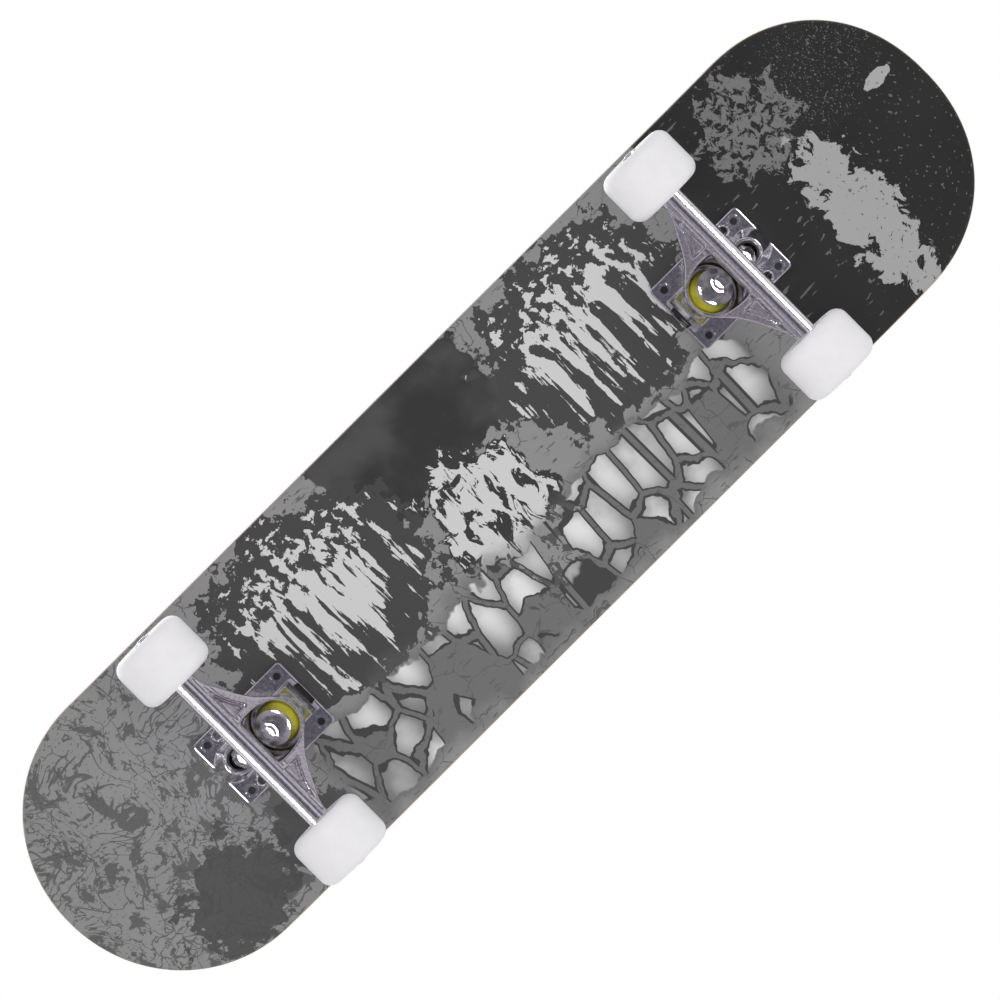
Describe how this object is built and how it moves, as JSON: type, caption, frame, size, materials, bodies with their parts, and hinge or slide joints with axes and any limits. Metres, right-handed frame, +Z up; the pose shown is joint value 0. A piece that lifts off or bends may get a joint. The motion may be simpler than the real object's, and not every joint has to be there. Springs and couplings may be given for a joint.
{
  "type": "skateboard",
  "caption": "Complete street skateboard: kicked maple deck with a grey brushed underside graphic, grip tape, polished kingpin trucks and white urethane wheels.",
  "frame": {"origin": "on the ground midway between the tips and the rails, with the board standing on its wheels", "axes": "+Z up, +Y along the board towards the nose, +X towards the rider's right when facing the nose"},
  "size_m": [0.2034, 0.7881, 0.1368],
  "materials": {
    "deck_underside": "clear-coated maple with a printed grey and black brushed graphic",
    "maple_light": "natural maple veneer, sanded edge",
    "maple_dark": "maple veneer dyed charcoal, sanded edge",
    "grip": "silicon carbide grit on black adhesive tape",
    "polished_aluminium": "cast aluminium, tumbled and polished bright",
    "zinc_steel": "bright zinc-plated steel",
    "yellow_zinc": "steel with yellow passivated zinc",
    "black_steel": "black oxide steel",
    "nickel": "bright nickel-plated cup washer",
    "bushing_urethane": "translucent olive-yellow urethane",
    "pivot_urethane": "black urethane",
    "wheel_urethane": "glossy white cast urethane",
    "bearing_steel": "ground bearing steel",
    "shield": "black rubber-faced removable shield",
    "cage": "natural nylon"
  },
  "bodies": {
    "deck": {"deck_ply_1": "deck_underside", "deck_ply_2": "maple_light", "deck_ply_3": "maple_dark", "deck_ply_4": "maple_light", "deck_ply_5": "maple_light", "deck_ply_6": "maple_dark", "deck_ply_7": "maple_light", "grip_tape": "grip", "front_mounting_bolts": "black_steel", "front_mounting_nuts": "zinc_steel", "front_baseplate": "polished_aluminium", "front_pivot_cup": "pivot_urethane", "front_kingpin": "yellow_zinc", "front_kingpin_nut": "zinc_steel", "front_cup_washers": "nickel", "front_lower_bushing": "bushing_urethane", "front_upper_bushing": "bushing_urethane", "rear_mounting_bolts": "black_steel", "rear_mounting_nuts": "zinc_steel", "rear_baseplate": "polished_aluminium", "rear_pivot_cup": "pivot_urethane", "rear_kingpin": "yellow_zinc", "rear_kingpin_nut": "zinc_steel", "rear_cup_washers": "nickel", "rear_lower_bushing": "bushing_urethane", "rear_upper_bushing": "bushing_urethane"},
    "front_hanger_assembly": {"front_hanger": "polished_aluminium", "front_axle": "zinc_steel", "front_speed_washers": "zinc_steel", "front_axle_nuts": "zinc_steel", "front_bearing_inner_rings": "bearing_steel", "front_bearing_spacers": "zinc_steel"},
    "rear_hanger_assembly": {"rear_hanger": "polished_aluminium", "rear_axle": "zinc_steel", "rear_speed_washers": "zinc_steel", "rear_axle_nuts": "zinc_steel", "rear_bearing_inner_rings": "bearing_steel", "rear_bearing_spacers": "zinc_steel"},
    "front_left_wheel_assembly": {"front_left_wheel": "wheel_urethane", "front_left_bearing_outer_rings": "bearing_steel", "front_left_bearing_shields": "shield"},
    "front_right_wheel_assembly": {"front_right_wheel": "wheel_urethane", "front_right_bearing_outer_rings": "bearing_steel", "front_right_bearing_shields": "shield"},
    "rear_left_wheel_assembly": {"rear_left_wheel": "wheel_urethane", "rear_left_bearing_outer_rings": "bearing_steel", "rear_left_bearing_shields": "shield"},
    "rear_right_wheel_assembly": {"rear_right_wheel": "wheel_urethane", "rear_right_bearing_outer_rings": "bearing_steel", "rear_right_bearing_shields": "shield"},
    "front_left_ball_sets": {"front_left_bearing_balls": "bearing_steel", "front_left_bearing_cages": "cage"},
    "front_right_ball_sets": {"front_right_bearing_balls": "bearing_steel", "front_right_bearing_cages": "cage"},
    "rear_left_ball_sets": {"rear_left_bearing_balls": "bearing_steel", "rear_left_bearing_cages": "cage"},
    "rear_right_ball_sets": {"rear_right_bearing_balls": "bearing_steel", "rear_right_bearing_cages": "cage"}
  },
  "joints": [
    {"name": "front_truck_steer", "type": "hinge", "parent": "deck", "child": "front_hanger_assembly", "pos_m": [0, 0.19035, 0.051], "axis": [0, 0.9037, 0.4281], "range_deg": [-12, 12], "stiffness_Nm_per_rad": 60, "deforming": ["front_lower_bushing", "front_upper_bushing"]},
    {"name": "rear_truck_steer", "type": "hinge", "parent": "deck", "child": "rear_hanger_assembly", "pos_m": [0, -0.20275, 0.051], "axis": [0, -0.9037, 0.4281], "range_deg": [-12, 12], "stiffness_Nm_per_rad": 60, "deforming": ["rear_lower_bushing", "rear_upper_bushing"]},
    {"name": "front_left_wheel_spin", "type": "hinge", "parent": "front_hanger_assembly", "child": "front_left_wheel_assembly", "pos_m": [-0.0815, 0.21635, 0.028], "axis": [1, 0, 0], "continuous": true},
    {"name": "front_left_ball_set_spin", "type": "hinge", "parent": "front_hanger_assembly", "child": "front_left_ball_sets", "pos_m": [-0.0815, 0.21635, 0.028], "axis": [1, 0, 0], "continuous": true},
    {"name": "front_right_wheel_spin", "type": "hinge", "parent": "front_hanger_assembly", "child": "front_right_wheel_assembly", "pos_m": [0.0815, 0.21635, 0.028], "axis": [1, 0, 0], "continuous": true},
    {"name": "front_right_ball_set_spin", "type": "hinge", "parent": "front_hanger_assembly", "child": "front_right_ball_sets", "pos_m": [0.0815, 0.21635, 0.028], "axis": [1, 0, 0], "continuous": true},
    {"name": "rear_left_wheel_spin", "type": "hinge", "parent": "rear_hanger_assembly", "child": "rear_left_wheel_assembly", "pos_m": [-0.0815, -0.22875, 0.028], "axis": [1, 0, 0], "continuous": true},
    {"name": "rear_left_ball_set_spin", "type": "hinge", "parent": "rear_hanger_assembly", "child": "rear_left_ball_sets", "pos_m": [-0.0815, -0.22875, 0.028], "axis": [1, 0, 0], "continuous": true},
    {"name": "rear_right_wheel_spin", "type": "hinge", "parent": "rear_hanger_assembly", "child": "rear_right_wheel_assembly", "pos_m": [0.0815, -0.22875, 0.028], "axis": [1, 0, 0], "continuous": true},
    {"name": "rear_right_ball_set_spin", "type": "hinge", "parent": "rear_hanger_assembly", "child": "rear_right_ball_sets", "pos_m": [0.0815, -0.22875, 0.028], "axis": [1, 0, 0], "continuous": true}
  ],
  "couplings": [
    {"joint": "front_left_ball_set_spin", "follows": "front_left_wheel_spin", "ratio": 0.6323},
    {"joint": "front_right_ball_set_spin", "follows": "front_right_wheel_spin", "ratio": 0.6323},
    {"joint": "rear_left_ball_set_spin", "follows": "rear_left_wheel_spin", "ratio": 0.6323},
    {"joint": "rear_right_ball_set_spin", "follows": "rear_right_wheel_spin", "ratio": 0.6323}
  ]
}
